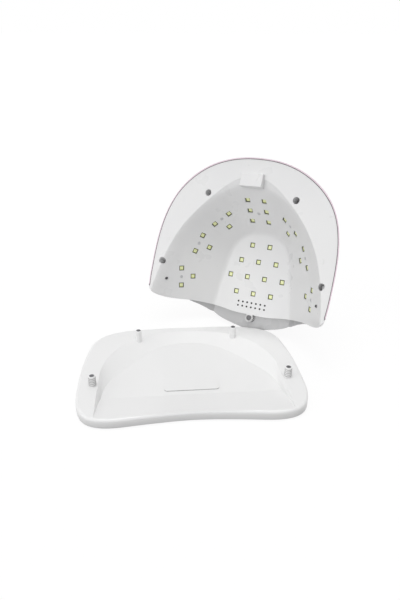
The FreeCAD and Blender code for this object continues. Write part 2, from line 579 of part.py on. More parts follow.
# ---------------------------------------------------------------- standing places and files
# The housing stands tipped on its front peak behind the tray, and both touch the table.
turned = Rotation(size("stand_yaw"), size("stand_pitch"), size("stand_roll"))
standing = outside.copy()
standing.Placement = Placement(Vector(0, 0, 0), turned)
lowest = standing.optimalBoundingBox(False, False).ZMin
stand = Placement(Vector(size("stand_across"), size("stand_along"), -lowest), turned)
places = {"housing": stand, "tray": Placement()}
placed = []
for label, shape, group in pieces:
    copy = shape.copy()
    copy.Placement = places[group].multiply(shape.Placement)
    placed.append((label, copy))

# The origin is under the middle of the whole, on the table.
outer = [shape for label, shape in placed if label in ("outer_shell", "lamp_bowl", "tray_shell")]
extent = Part.makeCompound(outer).optimalBoundingBox(False, False)
to_origin = Vector(-extent.Center.x, -extent.Center.y, 0)
print("stand", stand, "to origin", to_origin)

os.makedirs("parts", exist_ok=True)
for label, shape in placed:
    shape.translate(to_origin)
    feature = document.addObject("Part::Feature", label)
    feature.Label = label
    feature.Shape = shape
document.recompute()
for item in document.Objects:
    if "Invalid" in item.State or "Error" in item.State:
        raise RuntimeError("%s did not recompute" % item.Label)
for item in document.Objects:
    if not item.isDerivedFrom("Part::Feature"):
        continue
    if item.Shape.isNull() or not item.Shape.isValid():
        raise RuntimeError("%s has no valid shape" % item.Label)
    item.Shape.exportStep("parts/%s.step" % item.Label)
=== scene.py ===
import math

import bmesh
import bpy
from mathutils import Euler, Matrix, Vector


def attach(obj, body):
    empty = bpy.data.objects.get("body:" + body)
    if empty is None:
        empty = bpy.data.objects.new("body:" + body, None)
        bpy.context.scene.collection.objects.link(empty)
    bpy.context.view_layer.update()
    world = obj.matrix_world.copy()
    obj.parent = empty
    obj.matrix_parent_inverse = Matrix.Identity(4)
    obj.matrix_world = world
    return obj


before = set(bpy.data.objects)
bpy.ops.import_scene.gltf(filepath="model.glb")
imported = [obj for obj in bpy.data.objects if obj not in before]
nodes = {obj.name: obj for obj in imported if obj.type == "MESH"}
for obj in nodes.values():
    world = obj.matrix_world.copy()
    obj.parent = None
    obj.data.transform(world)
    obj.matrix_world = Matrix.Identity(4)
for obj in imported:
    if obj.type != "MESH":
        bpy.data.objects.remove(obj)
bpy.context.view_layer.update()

# ------------------------------------------------------------------ outer shell
# The shell is one injection-moulded ABS dome. Its outside is sprayed pale pearl pink under a clear
# coat. The spray thins out on the rim edge, and leaves the underside of the front peak bare. That
# bare underside is given a mid grey, which is painted shade.
MM = 0.001
HOUSING_PLACE = (0.038292, 0.031802, 0.106348)
HOUSING_TURN, HOUSING_LEAN, HOUSING_TIP = math.radians(143.9), math.radians(4.0), math.radians(118.7)
HOUSING = (Matrix.Translation(HOUSING_PLACE) @ Matrix.Rotation(HOUSING_TURN, 4, "Z")
           @ Matrix.Rotation(HOUSING_LEAN, 4, "Y") @ Matrix.Rotation(HOUSING_TIP, 4, "X"))
HOUSING_UP = HOUSING.to_3x3() @ Vector((0, 0, 1))


def new_material(name, colour, roughness, coat=0.0, metallic=0.0):
    material = bpy.data.materials.new(name)
    material.use_nodes = True
    shader = material.node_tree.nodes["Principled BSDF"]
    shader.inputs["Base Color"].default_value = (*colour, 1)
    shader.inputs["Roughness"].default_value = roughness
    shader.inputs["Coat Weight"].default_value = coat
    shader.inputs["Coat Roughness"].default_value = 0.08
    shader.inputs["Metallic"].default_value = metallic
    return material


def wire(material, output, target):
    material.node_tree.links.new(output, target)


def noise_on_object(material, scale, detail=2.0):
    """A noise that is fixed to the piece, with its scale in repeats per metre."""
    place = material.node_tree.nodes.new("ShaderNodeTexCoord")
    noise = material.node_tree.nodes.new("ShaderNodeTexNoise")
    noise.inputs["Scale"].default_value = scale
    noise.inputs["Detail"].default_value = detail
    wire(material, place.outputs["Object"], noise.inputs["Vector"])
    return noise


def vary_colour(material, scale, dark, light, detail=2.0):
    """The base colour wanders between two near shades."""
    shader = material.node_tree.nodes["Principled BSDF"]
    noise = noise_on_object(material, scale, detail)
    ramp = material.node_tree.nodes.new("ShaderNodeValToRGB")
    for element, position, colour in zip(ramp.color_ramp.elements, (0.2, 0.8), (dark, light)):
        element.position = position
        element.color = (*colour, 1)
    wire(material, noise.outputs["Fac"], ramp.inputs["Fac"])
    wire(material, ramp.outputs["Color"], shader.inputs["Base Color"])


def spread_of(material, value, low, high, low_out, high_out):
    """A value stretched from one range to another, and held at its ends."""
    spread = material.node_tree.nodes.new("ShaderNodeMapRange")
    for name, number in (("From Min", low), ("From Max", high), ("To Min", low_out), ("To Max", high_out)):
        spread.inputs[name].default_value = number
    wire(material, value, spread.inputs["Value"])
    return spread.outputs["Result"]


def vary_roughness(material, scale, low, high):
    """The polish wanders between two near values."""
    noise = noise_on_object(material, scale, detail=3.0)
    result = spread_of(material, noise.outputs["Fac"], 0.3, 0.7, low, high)
    wire(material, result, material.node_tree.nodes["Principled BSDF"].inputs["Roughness"])


def reach_along(material, output, direction):
    """How far a point or a normal of the piece goes in one direction."""
    place = material.node_tree.nodes.new("ShaderNodeTexCoord")
    reach = material.node_tree.nodes.new("ShaderNodeVectorMath")
    reach.operation = "DOT_PRODUCT"
    reach.inputs[1].default_value = direction
    wire(material, place.outputs[output], reach.inputs[0])
    return reach.outputs["Value"]


def multiply(material, first, second):
    product = material.node_tree.nodes.new("ShaderNodeMath")
    product.operation = "MULTIPLY"
    wire(material, first, product.inputs[0])
    wire(material, second, product.inputs[1])
    return product.outputs["Value"]


def shade_where(material, mask, shade):
    """The base colour goes over to a shade where the mask says."""
    shader = material.node_tree.nodes["Principled BSDF"]
    coats = material.node_tree.nodes.new("ShaderNodeMix")
    coats.data_type = "RGBA"
    coats.inputs["B"].default_value = (*shade, 1)
    wire(material, shader.inputs["Base Color"].links[0].from_socket, coats.inputs["A"])
    wire(material, mask, coats.inputs["Factor"])
    wire(material, coats.outputs["Result"], shader.inputs["Base Color"])


def finish(node, material):
    """The one material of a solid that is already in place."""
    mesh = nodes[node].data
    mesh.materials.clear()
    mesh.materials.append(material)


pearl = new_material("pearl pink lacquer", (0.82, 0.62, 0.71), 0.3, coat=0.8)
vary_colour(pearl, 2600, (0.805, 0.605, 0.695), (0.84, 0.64, 0.725))
vary_roughness(pearl, 60, 0.24, 0.34)
THIN_SPRAY, BARE_UNDERSIDE_PAINTED_SHADE = (0.72, 0.58, 0.66), (0.43, 0.43, 0.435)
RIM_LEVEL = HOUSING.translation.dot(HOUSING_UP)
facing_down = spread_of(pearl, reach_along(pearl, "Normal", -HOUSING_UP), 0.15, 0.25, 0, 1)
above_rim = spread_of(pearl, reach_along(pearl, "Object", HOUSING_UP),
                      RIM_LEVEL + 3 * MM, RIM_LEVEL + 5 * MM, 0, 1)
shade_where(pearl, facing_down, THIN_SPRAY)
# The unsprayed underside of the front peak is painted mid grey as shade.
shade_where(pearl, multiply(pearl, facing_down, above_rim), BARE_UNDERSIDE_PAINTED_SHADE)
finish("outer_shell", pearl)


# ------------------------------------------------------------------ lamp bowl
# The bowl is a second moulding of glossy white ABS, held in the shell by four screws up through
# the peg wells and one at the lip. Past the lip, round that screw's tab, it is painted grey as shade.
# Two low pips on its rim are left by the mould's ejectors.
def add_bump(material, scale, strength, distance):
    """A fine grain that catches the light."""
    noise = noise_on_object(material, scale)
    bump = material.node_tree.nodes.new("ShaderNodeBump")
    bump.inputs["Strength"].default_value = strength
    bump.inputs["Distance"].default_value = distance
    wire(material, noise.outputs["Fac"], bump.inputs["Height"])
    wire(material, bump.outputs["Normal"], material.node_tree.nodes["Principled BSDF"].inputs["Normal"])


def new_piece(name, shape, material, body):
    """A finished mesh at the origin, from a bmesh in metres that is already in its place."""
    mesh = bpy.data.meshes.new(name)
    bmesh.ops.recalc_face_normals(shape, faces=shape.faces)
    shape.to_mesh(mesh)
    shape.free()
    mesh.materials.append(material)
    thing = bpy.data.objects.new(name, mesh)
    bpy.context.collection.objects.link(thing)
    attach(thing, body)
    return thing


bowl_white = new_material("bowl white", (0.765, 0.765, 0.765), 0.3, coat=0.3)
vary_colour(bowl_white, 9, (0.755, 0.755, 0.763), (0.775, 0.775, 0.771))
vary_roughness(bowl_white, 45, 0.26, 0.36)
add_bump(bowl_white, 420, 0.05, 0.0002)
HOUSING_FRONT = HOUSING.to_3x3() @ Vector((0, -1, 0))
HOUSING_MIDDLE = HOUSING.translation.dot(HOUSING_FRONT)
# Past the lip the bowl goes grey, which is painted shade like that under the front peak.
TAB_START, TAB_PAINTED_SHADE = HOUSING_MIDDLE + 68 * MM, (0.50, 0.50, 0.50)
past_lip = spread_of(bowl_white, reach_along(bowl_white, "Object", HOUSING_FRONT),
                     TAB_START - 0.4 * MM, TAB_START + 0.4 * MM, 0, 1)
shade_where(bowl_white, past_lip, TAB_PAINTED_SHADE)
finish("lamp_bowl", bowl_white)

PIP_OUT, PIP_FORWARD = 92 * MM, 1 * MM
PIP_WIDE, PIP_LONG, PIP_HIGH = 1.5 * MM, 3.0 * MM, 0.3 * MM
pips = bmesh.new()
for side in (1, -1):
    made = bmesh.ops.create_uvsphere(pips, u_segments=24, v_segments=12, radius=1)["verts"]
    pip_place = Matrix.Translation((side * PIP_OUT, -PIP_FORWARD, 0))
    flatten = Matrix.Diagonal((PIP_WIDE, PIP_LONG, PIP_HIGH, 1))
    bmesh.ops.transform(pips, verts=made, matrix=HOUSING @ pip_place @ flatten)
new_piece("ejector_pips", pips, bowl_white, "housing")

# ------------------------------------------------------------------ rim seam
# Where the bowl's rim sits in the shell, the seam shows as a thin dark line. This bead stands in
# for the shadow in it. It follows the outer edge of the rim from one front corner round the back
# to the other.
seam_dark = new_material("seam dark", (0.09, 0.075, 0.08), 0.6)
vary_colour(seam_dark, 500, (0.07, 0.058, 0.062), (0.12, 0.10, 0.108))
add_bump(seam_dark, 1500, 0.3, 0.0001)


def welded_copy(node):
    """A copy of a node's loose triangles, joined at their corners into whole surfaces."""
    shape = bmesh.new()
    shape.from_mesh(nodes[node].data)
    bmesh.ops.remove_doubles(shape, verts=shape.verts, dist=1e-6)
    shape.normal_update()
    return shape


def longest_open_chain(edges):
    """The corner points, in order, of the longest run of joined edges that has two loose ends."""
    links = {}
    for edge in edges:
        for corner in edge.verts:
            links.setdefault(corner, []).append(edge)
    longest = []
    for start in [corner for corner in links if len(links[corner]) == 1]:
        chain, last = [start], None
        while True:
            onward = [edge for edge in links[chain[-1]] if edge is not last]
            if not onward:
                break
            last = onward[0]
            chain.append(last.other_vert(chain[-1]))
        if len(chain) > len(longest):
            longest = chain
    return [corner.co.copy() for corner in longest]


def tube_along(points, radius, sides, across):
    """A closed round tube on a run of points; across is a direction that the run never takes."""
    shape = bmesh.new()
    rings = []
    for i, point in enumerate(points):
        ahead = (points[min(i + 1, len(points) - 1)] - points[max(i - 1, 0)]).normalized()
        first = ahead.cross(across).normalized()
        second = ahead.cross(first)
        turns = [2 * math.pi * k / sides for k in range(sides)]
        rings.append([shape.verts.new(point + radius * (math.cos(turn) * first + math.sin(turn) * second))
                      for turn in turns])
    for near, far in zip(rings, rings[1:]):
        for k in range(sides):
            shape.faces.new((near[k], near[(k + 1) % sides], far[(k + 1) % sides], far[k]))
    shape.faces.new(rings[0])
    shape.faces.new(rings[-1][::-1])
    return shape


SEAM_RADIUS, SEAM_ENDS = 0.32 * MM, HOUSING_MIDDLE + 58 * MM
RIM_FACE, OUTER_WALL = -0.9, 0.35
bowl_copy = welded_copy("lamp_bowl")
rim_edges = []
for edge in bowl_copy.edges:
    facing = sorted(face.normal.dot(HOUSING_UP) for face in edge.link_faces)
    if len(facing) == 2 and facing[0] < RIM_FACE and abs(facing[1]) < OUTER_WALL:
        rim_edges.append(edge)
seam = [point for point in longest_open_chain(rim_edges) if point.dot(HOUSING_FRONT) < SEAM_ENDS]
bowl_copy.free()
bead = tube_along(seam, SEAM_RADIUS, 8, across=HOUSING_UP)
new_piece("rim_seam", bead, seam_dark, "housing")

# ------------------------------------------------------------------ base tray
# The tray is white ABS too, with a slightly softer polish, and rests on four rubber feet. Four
# pegs stand on its deck, each with a nickel-plated magnet in its top. Shade is painted low on its
# outer wall and on the small step of its floor plate.
tray_white = new_material("tray white", (0.86, 0.86, 0.86), 0.32, coat=0.25)
vary_colour(tray_white, 7, (0.85, 0.85, 0.85), (0.87, 0.87, 0.87))
vary_roughness(tray_white, 38, 0.28, 0.4)
add_bump(tray_white, 380, 0.05, 0.0002)

WALL_GREY, STEP_GREY = (0.60, 0.60, 0.60), (0.42, 0.42, 0.42)
PLATE_LEFT, PLATE_RIGHT, PLATE_FRONT = -49.5 * MM, 7.1 * MM, -75.7 * MM
steep = spread_of(tray_white, reach_along(tray_white, "Normal", (0, 0, 1)), 0.3, 0.7, 1, 0)
low_down = spread_of(tray_white, reach_along(tray_white, "Object", (0, 0, 1)), 0, 8 * MM, 1, 0)
shade_where(tray_white, multiply(tray_white, steep, low_down), WALL_GREY)
step = steep
for direction, start, end in (((1, 0, 0), PLATE_LEFT - MM, PLATE_LEFT),
                              ((-1, 0, 0), -PLATE_RIGHT - MM, -PLATE_RIGHT),
                              ((0, 1, 0), PLATE_FRONT - 3 * MM, PLATE_FRONT - 2 * MM),
                              ((0, -1, 0), -PLATE_FRONT - 7 * MM, -PLATE_FRONT - 6 * MM)):
    reach = reach_along(tray_white, "Object", direction)
    step = multiply(tray_white, step, spread_of(tray_white, reach, start, end, 0, 1))
shade_where(tray_white, step, STEP_GREY)
finish("tray_shell", tray_white)

magnet = new_material("magnet nickel", (0.20, 0.20, 0.21), 0.38, metallic=1.0)
vary_roughness(magnet, 900, 0.3, 0.5)
add_bump(magnet, 1500, 0.1, 0.0001)
finish("peg_magnets", magnet)

rubber = new_material("foot rubber", (0.62, 0.62, 0.63), 0.8)
vary_colour(rubber, 500, (0.58, 0.58, 0.59), (0.65, 0.65, 0.66))
add_bump(rubber, 1400, 0.2, 0.0002)
finish("tray_feet", rubber)


# ------------------------------------------------------------------ grip rings on the pegs
# Five rings are moulded round each of the two front pegs, so that the peg grips the wall of its
# well in the housing. Their grey is painted shade, for the shadow in the hollows between them.
def islands(node):
    """The separate closed shapes of a node, each as a list of its corner points."""
    shape = welded_copy(node)
    seen, found = set(), []
    for start in shape.verts:
        if start in seen:
            continue
        seen.add(start)
        group = [start]
        for corner in group:
            for link in corner.link_edges:
                other = link.other_vert(corner)
                if other not in seen:
                    seen.add(other)
                    group.append(other)
        found.append([corner.co.copy() for corner in group])
    shape.free()
    return found


def middle_of(points):
    """The mean of some points."""
    return sum(points, Vector()) / len(points)


def points_object(name, places, turns):
    """A mesh of loose points, each with the turn that its copy is given."""
    mesh = bpy.data.meshes.new(name)
    mesh.from_pydata([tuple(place) for place in places], [], [])
    turned = mesh.attributes.new("turn", "FLOAT_VECTOR", "POINT")
    for i, turn in enumerate(turns):
        turned.data[i].vector = turn
    thing = bpy.data.objects.new(name, mesh)
    bpy.context.collection.objects.link(thing)
    return thing


def start_tree(name, sizes):
    """A Geometry Nodes tree with a geometry input, named sizes and a geometry output."""
    tree = bpy.data.node_groups.new(name, "GeometryNodeTree")
    tree.interface.new_socket("Geometry", in_out="INPUT", socket_type="NodeSocketGeometry")
    for label in sizes:
        tree.interface.new_socket(label, in_out="INPUT", socket_type="NodeSocketFloat")
    tree.interface.new_socket("Geometry", in_out="OUTPUT", socket_type="NodeSocketGeometry")
    return tree, tree.nodes.new("NodeGroupInput"), tree.nodes.new("NodeGroupOutput")


def copies_on_points(tree, given, result, shape, material):
    """One copy of the shape on each point, turned as the point says."""
    turn = tree.nodes.new("GeometryNodeInputNamedAttribute")
    turn.data_type = "FLOAT_VECTOR"
    turn.inputs["Name"].default_value = "turn"
    copies = tree.nodes.new("GeometryNodeInstanceOnPoints")
    real = tree.nodes.new("GeometryNodeRealizeInstances")
    painted = tree.nodes.new("GeometryNodeSetMaterial")
    painted.inputs["Material"].default_value = material
    tree.links.new(given.outputs["Geometry"], copies.inputs["Points"])
    tree.links.new(shape, copies.inputs["Instance"])
    tree.links.new(turn.outputs["Attribute"], copies.inputs["Rotation"])
    tree.links.new(copies.outputs["Instances"], real.inputs["Geometry"])
    tree.links.new(real.outputs["Geometry"], painted.inputs["Geometry"])
    tree.links.new(painted.outputs["Geometry"], result.inputs["Geometry"])


def grown(carrier, tree, sizes, name, body):
    """The carrier's tree, run once and kept as a plain mesh that rides on one body."""
    modifier = carrier.modifiers.new("tree", "NODES")
    modifier.node_group = tree
    for item in tree.interface.items_tree:
        if item.in_out == "INPUT" and item.name in sizes:
            modifier[item.identifier] = sizes[item.name]
    bpy.context.view_layer.update()
    mesh = bpy.data.meshes.new_from_object(carrier.evaluated_get(bpy.context.evaluated_depsgraph_get()))
    mesh.name = name
    bpy.data.objects.remove(carrier)
    thing = bpy.data.objects.new(name, mesh)
    bpy.context.collection.objects.link(thing)
    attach(thing, body)
    return thing


# The rings' grey is painted shade.
ring_painted_shade = new_material("peg ring painted shade", (0.45, 0.45, 0.45), 0.5)
vary_colour(ring_painted_shade, 900, (0.41, 0.41, 0.41), (0.49, 0.49, 0.49))
DECK_LEVEL, PEG_RADIUS, FRONT_PEGS = 10.5 * MM, 3.3 * MM, -50 * MM
FIRST_RING, RING_PITCH, RINGS, RING_THICKNESS = 1.4 * MM, 1.9 * MM, 5, 0.35 * MM
ring_places = []
for points in islands("peg_magnets"):
    peg = middle_of(points)
    if peg.y < FRONT_PEGS:
        ring_places += [Vector((peg.x, peg.y, DECK_LEVEL + FIRST_RING + RING_PITCH * k))
                        for k in range(RINGS)]
rings = points_object("ring points", ring_places, [(0, 0, 0)] * len(ring_places))
tree, given, result = start_tree("peg rings", ("Peg radius", "Ring thickness"))
path = tree.nodes.new("GeometryNodeCurvePrimitiveCircle")
path.inputs["Resolution"].default_value = 40
section = tree.nodes.new("GeometryNodeCurvePrimitiveCircle")
section.inputs["Resolution"].default_value = 8
tube = tree.nodes.new("GeometryNodeCurveToMesh")
tree.links.new(given.outputs["Peg radius"], path.inputs["Radius"])
tree.links.new(given.outputs["Ring thickness"], section.inputs["Radius"])
tree.links.new(path.outputs["Curve"], tube.inputs["Curve"])
tree.links.new(section.outputs["Curve"], tube.inputs["Profile Curve"])
copies_on_points(tree, given, result, tube.outputs["Mesh"], ring_painted_shade)
ring_sizes = {"Peg radius": PEG_RADIUS, "Ring thickness": RING_THICKNESS}
grown(rings, tree, ring_sizes, "peg_rings", "tray")

# ------------------------------------------------------------------ vent shadow discs
# Two rows of small round vents let air through the roof. A thin black disc in the mouth of each is
# painted shadow, standing in for the dark space behind it.
# The discs' near-black is painted shadow.
vent_shadow = new_material("vent painted shadow", (0.012, 0.012, 0.013), 0.9)
add_bump(vent_shadow, 3000, 0.6, 0.0002)
vary_colour(vent_shadow, 3000, (0.008, 0.008, 0.009), (0.02, 0.02, 0.022))
ROOF_HEIGHT, ROOF_SLOPE = 53.6 * MM, math.radians(-4.6)
ROOF = HOUSING @ Matrix.Translation((0, 0, ROOF_HEIGHT)) @ Matrix.Rotation(ROOF_SLOPE, 4, "X")
VENT_COLUMNS, VENT_PITCH, VENT_ROWS = 7, 5.6 * MM, (-54 * MM, -59 * MM)
SHADOW_DISC_RADIUS, SHADOW_DISC_THICKNESS, SHADOW_DISC_RAISE = 1.1 * MM, 0.26 * MM, 0.07 * MM
vent_places = [ROOF @ Vector(((column - (VENT_COLUMNS - 1) / 2) * VENT_PITCH, row, SHADOW_DISC_RAISE))
               for column in range(VENT_COLUMNS) for row in VENT_ROWS]
vents = points_object("vent points", vent_places, [tuple(ROOF.to_euler())] * len(vent_places))
tree, given, result = start_tree("vent shadow discs", ("Shadow disc radius", "Shadow disc thickness"))
disc = tree.nodes.new("GeometryNodeMeshCylinder")
disc.inputs["Vertices"].default_value = 24
tree.links.new(given.outputs["Shadow disc radius"], disc.inputs["Radius"])
tree.links.new(given.outputs["Shadow disc thickness"], disc.inputs["Depth"])
copies_on_points(tree, given, result, disc.outputs["Mesh"], vent_shadow)
shadow_disc_sizes = {"Shadow disc radius": SHADOW_DISC_RADIUS, "Shadow disc thickness": SHADOW_DISC_THICKNESS}
grown(vents, tree, shadow_disc_sizes, "vent_shadow_discs", "housing")

# ------------------------------------------------------------------ LEDs and their boards
# Each LED is a square moulded frame with a yellow-green phosphor face, soldered to a white board
# behind the bowl. The frames' dark olive is painted shade, for the shadow in the recess of each
# LED's window. The boards are glass-fibre laminate under white solder mask.
# The frames' dark olive is painted shade.
led_frame_painted_shade = new_material("LED frame painted shade", (0.05, 0.055, 0.025), 0.45)
vary_colour(led_frame_painted_shade, 700, (0.035, 0.04, 0.018), (0.065, 0.075, 0.035))
phosphor = new_material("phosphor", (0.80, 0.86, 0.42), 0.35, coat=0.6)
vary_colour(phosphor, 420, (0.70, 0.78, 0.20), (0.88, 0.90, 0.50), detail=3)
BANKS = ("roof", "rear", "left", "right")
for bank in BANKS:
    finish(bank + "_leds", led_frame_painted_shade)
    finish(bank + "_phosphors", phosphor)
solder_mask = new_material("white solder mask", (0.74, 0.74, 0.70), 0.45)
vary_colour(solder_mask, 260, (0.70, 0.70, 0.66), (0.78, 0.78, 0.75))
for node in nodes:
    if node.endswith("_board") and node != "control_board":
        finish(node, solder_mask)

# ------------------------------------------------------------------ chips in the LEDs
# Under each LED's gel sit four light-giving chips in a square, which show through as paler pads.
# A dark collar round each LED stands in for the shadow in the gap to the edge of its window.
chip_glow = new_material("chip in gel", (0.93, 0.93, 0.62), 0.25, coat=0.8)
vary_colour(chip_glow, 900, (0.88, 0.88, 0.52), (0.95, 0.95, 0.70))
chip_places, chip_turns = [], []
for bank in BANKS:
    frames = [middle_of(points) for points in islands(bank + "_leds")]
    for points in islands(bank + "_phosphors"):
        centre = middle_of(points)
        behind = min(frames, key=lambda place: (place - centre).length)
        spans = sorted((point - points[0] for point in points[1:]), key=lambda span: span.length)
        outward, across = spans[0].normalized(), spans[1].normalized()
        if outward.dot(centre - behind) < 0:
            outward = -outward
        turn = Matrix((across, outward.cross(across), outward)).transposed().to_euler()
        chip_places.append(centre + outward * (spans[0].length / 2))
        chip_turns.append(tuple(turn))
CHIP_SIDE, CHIP_PITCH, CHIP_THICKNESS = 0.95 * MM, 1.5 * MM, 0.06 * MM
chips = points_object("chip points", chip_places, chip_turns)
tree, given, result = start_tree("LED chips", ("Chip side", "Chip pitch", "Chip thickness"))
corners = tree.nodes.new("GeometryNodeMeshGrid")
corners.inputs["Vertices X"].default_value = 2
corners.inputs["Vertices Y"].default_value = 2
tree.links.new(given.outputs["Chip pitch"], corners.inputs["Size X"])
tree.links.new(given.outputs["Chip pitch"], corners.inputs["Size Y"])
pad_size = tree.nodes.new("ShaderNodeCombineXYZ")
tree.links.new(given.outputs["Chip side"], pad_size.inputs["X"])
tree.links.new(given.outputs["Chip side"], pad_size.inputs["Y"])
tree.links.new(given.outputs["Chip thickness"], pad_size.inputs["Z"])
pad = tree.nodes.new("GeometryNodeMeshCube")
tree.links.new(pad_size.outputs["Vector"], pad.inputs["Size"])
square = tree.nodes.new("GeometryNodeInstanceOnPoints")
tree.links.new(corners.outputs["Mesh"], square.inputs["Points"])
tree.links.new(pad.outputs["Mesh"], square.inputs["Instance"])
copies_on_points(tree, given, result, square.outputs["Instances"], chip_glow)
chip_sizes = {"Chip side": CHIP_SIDE, "Chip pitch": CHIP_PITCH, "Chip thickness": CHIP_THICKNESS}
grown(chips, tree, chip_sizes, "led_chips", "housing")

collar_dark = new_material("collar dark", (0.05, 0.055, 0.03), 0.6)
vary_colour(collar_dark, 700, (0.035, 0.04, 0.02), (0.065, 0.07, 0.04))
COLLAR_SIDE, COLLAR_WIDTH, COLLAR_THICKNESS, COLLAR_RAISE = 5.55 * MM, 0.5 * MM, 0.3 * MM, 0.2 * MM
collar_places = [place + Euler(turn).to_matrix() @ Vector((0, 0, COLLAR_RAISE))
                 for place, turn in zip(chip_places, chip_turns)]
collars = points_object("collar points", collar_places, chip_turns)
tree, given, result = start_tree("LED collars", ("Collar side", "Collar width", "Collar thickness"))
path = tree.nodes.new("GeometryNodeCurvePrimitiveQuadrilateral")
section = tree.nodes.new("GeometryNodeCurvePrimitiveQuadrilateral")
tube = tree.nodes.new("GeometryNodeCurveToMesh")
for outline, width, height in ((path, "Collar side", "Collar side"),
                               (section, "Collar width", "Collar thickness")):
    tree.links.new(given.outputs[width], outline.inputs["Width"])
    tree.links.new(given.outputs[height], outline.inputs["Height"])
tree.links.new(path.outputs["Curve"], tube.inputs["Curve"])
tree.links.new(section.outputs["Curve"], tube.inputs["Profile Curve"])
copies_on_points(tree, given, result, tube.outputs["Mesh"], collar_dark)
collar_sizes = {"Collar side": COLLAR_SIDE, "Collar width": COLLAR_WIDTH,
                "Collar thickness": COLLAR_THICKNESS}
grown(collars, tree, collar_sizes, "led_collars", "housing")

# ------------------------------------------------------------------ screws
# All screws are small steel self-tappers with fine turning marks. Those of the rim and of the
# control board are bright plated. The lip's is darkened as painted shade, for the shade under the
# front peak, and those of the LED boards are a darker steel between the two.
steel = new_material("screw steel", (0.85, 0.85, 0.86), 0.36, metallic=0.5)
vary_roughness(steel, 1600, 0.28, 0.5)
add_bump(steel, 2600, 0.15, 0.00008)
finish("rim_screws", steel)
finish("control_board_screws", steel)
# The lip screw's dark steel is painted shade.
lip_screw_painted_shade = new_material("lip screw painted shade", (0.16, 0.16, 0.165), 0.55, metallic=0.4)
vary_roughness(lip_screw_painted_shade, 1600, 0.45, 0.65)
add_bump(lip_screw_painted_shade, 2600, 0.25, 0.00008)
finish("lip_screw", lip_screw_painted_shade)
# The board screws' steel is a shade darker than that of the rim screws.
mid_steel = new_material("mid steel", (0.55, 0.55, 0.57), 0.5, metallic=0.3)
vary_roughness(mid_steel, 1600, 0.4, 0.6)
finish("board_screws", mid_steel)

# ------------------------------------------------------------------ infrared eyes
# A hand in the lamp breaks the beam between two small eyes, one in each side wall. Both are cast
# in smoked epoxy.
smoked = new_material("smoked epoxy", (0.015, 0.012, 0.018), 0.12, coat=0.6)
vary_colour(smoked, 800, (0.010, 0.008, 0.012), (0.022, 0.017, 0.026))
finish("infrared_emitter", smoked)
finish("infrared_receiver", smoked)

# ------------------------------------------------------------------ display
# A smoked acrylic window is glued into the top of the shell over the display module. Switched
# off, it shows only the faint ghost of three seven-bar digits.
acrylic = new_material("smoked acrylic", (0.010, 0.010, 0.012), 0.08, coat=1.0)
vary_colour(acrylic, 30, (0.008, 0.008, 0.010), (0.013, 0.013, 0.016))
vary_roughness(acrylic, 70, 0.06, 0.12)
finish("display_window", acrylic)
case_black = new_material("display case black", (0.03, 0.03, 0.032), 0.5)
vary_colour(case_black, 300, (0.025, 0.025, 0.027), (0.04, 0.04, 0.043))
finish("display_module", case_black)

PANEL_HEIGHT, PANEL_SLOPE = 83.5 * MM, math.radians(5.2)
PANEL = HOUSING @ Matrix.Translation((0, 0, PANEL_HEIGHT)) @ Matrix.Rotation(PANEL_SLOPE, 4, "X")
ghost = new_material("unlit digit", (0.10, 0.10, 0.104), 0.08, coat=1.0)
vary_colour(ghost, 600, (0.09, 0.09, 0.094), (0.11, 0.11, 0.114))
DIGIT_PITCH, DIGIT_ROW = 9.5 * MM, -20.0 * MM
BAR_ACROSS, BAR_UP, BAR, BAR_THICKNESS = 5.2 * MM, 5.0 * MM, 0.9 * MM, 0.06 * MM
digits = bmesh.new()
for column in (-1, 0, 1):
    middle = column * DIGIT_PITCH
    bars = [(middle, DIGIT_ROW + row * BAR_UP, BAR_ACROSS - BAR, BAR) for row in (-1, 0, 1)]
    bars += [(middle + side * BAR_ACROSS / 2, DIGIT_ROW + half * BAR_UP / 2, BAR, BAR_UP - BAR)
             for side in (-1, 1) for half in (-1, 1)]
    for x, y, wide, high in bars:
        made = bmesh.ops.create_cube(digits, size=1)["verts"]
        bar_shape = Matrix.Diagonal((wide, high, BAR_THICKNESS, 1))
        bmesh.ops.transform(digits, verts=made, matrix=PANEL @ Matrix.Translation((x, y, 0)) @ bar_shape)
new_piece("display_digits", digits, ghost, "housing")

# ------------------------------------------------------------------ buttons
# Four white caps choose the time in seconds. Each carries its number in grey, printed and then
# lacquered, and presses a tact switch on the control board.
cap_white = new_material("cap white", (0.80, 0.80, 0.81), 0.28, coat=0.5)
vary_colour(cap_white, 120, (0.785, 0.785, 0.79), (0.81, 0.81, 0.815))
vary_roughness(cap_white, 300, 0.24, 0.34)
ink = new_material("grey ink", (0.12, 0.12, 0.13), 0.5)
vary_colour(ink, 1500, (0.10, 0.10, 0.11), (0.15, 0.15, 0.16))
BUTTON_PITCH, BUTTON_ROW = 15.5 * MM, -53 * MM
NUMBER_SIZE, NUMBER_THICKNESS, NUMBER_RAISE = 4.6 * MM, 0.03 * MM, 1.02 * MM
for column, seconds in ((-1.5, "10"), (-0.5, "30"), (0.5, "60"), (1.5, "99")):
    button = "button_%ss" % seconds
    finish(button, cap_white)
    text = bpy.data.curves.new(button + "_number", "FONT")
    text.body = seconds
    text.size = NUMBER_SIZE
    text.extrude = NUMBER_THICKNESS
    text.align_x, text.align_y = "CENTER", "CENTER"
    writer = bpy.data.objects.new("writer", text)
    bpy.context.collection.objects.link(writer)
    bpy.context.view_layer.update()
    mesh = bpy.data.meshes.new_from_object(writer.evaluated_get(bpy.context.evaluated_depsgraph_get()))
    bpy.data.objects.remove(writer)
    mesh.transform(PANEL @ Matrix.Translation((column * BUTTON_PITCH, BUTTON_ROW, NUMBER_RAISE)))
    mesh.materials.append(ink)
    number = bpy.data.objects.new(button + "_number", mesh)
    bpy.context.collection.objects.link(number)
    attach(number, button + "_body")

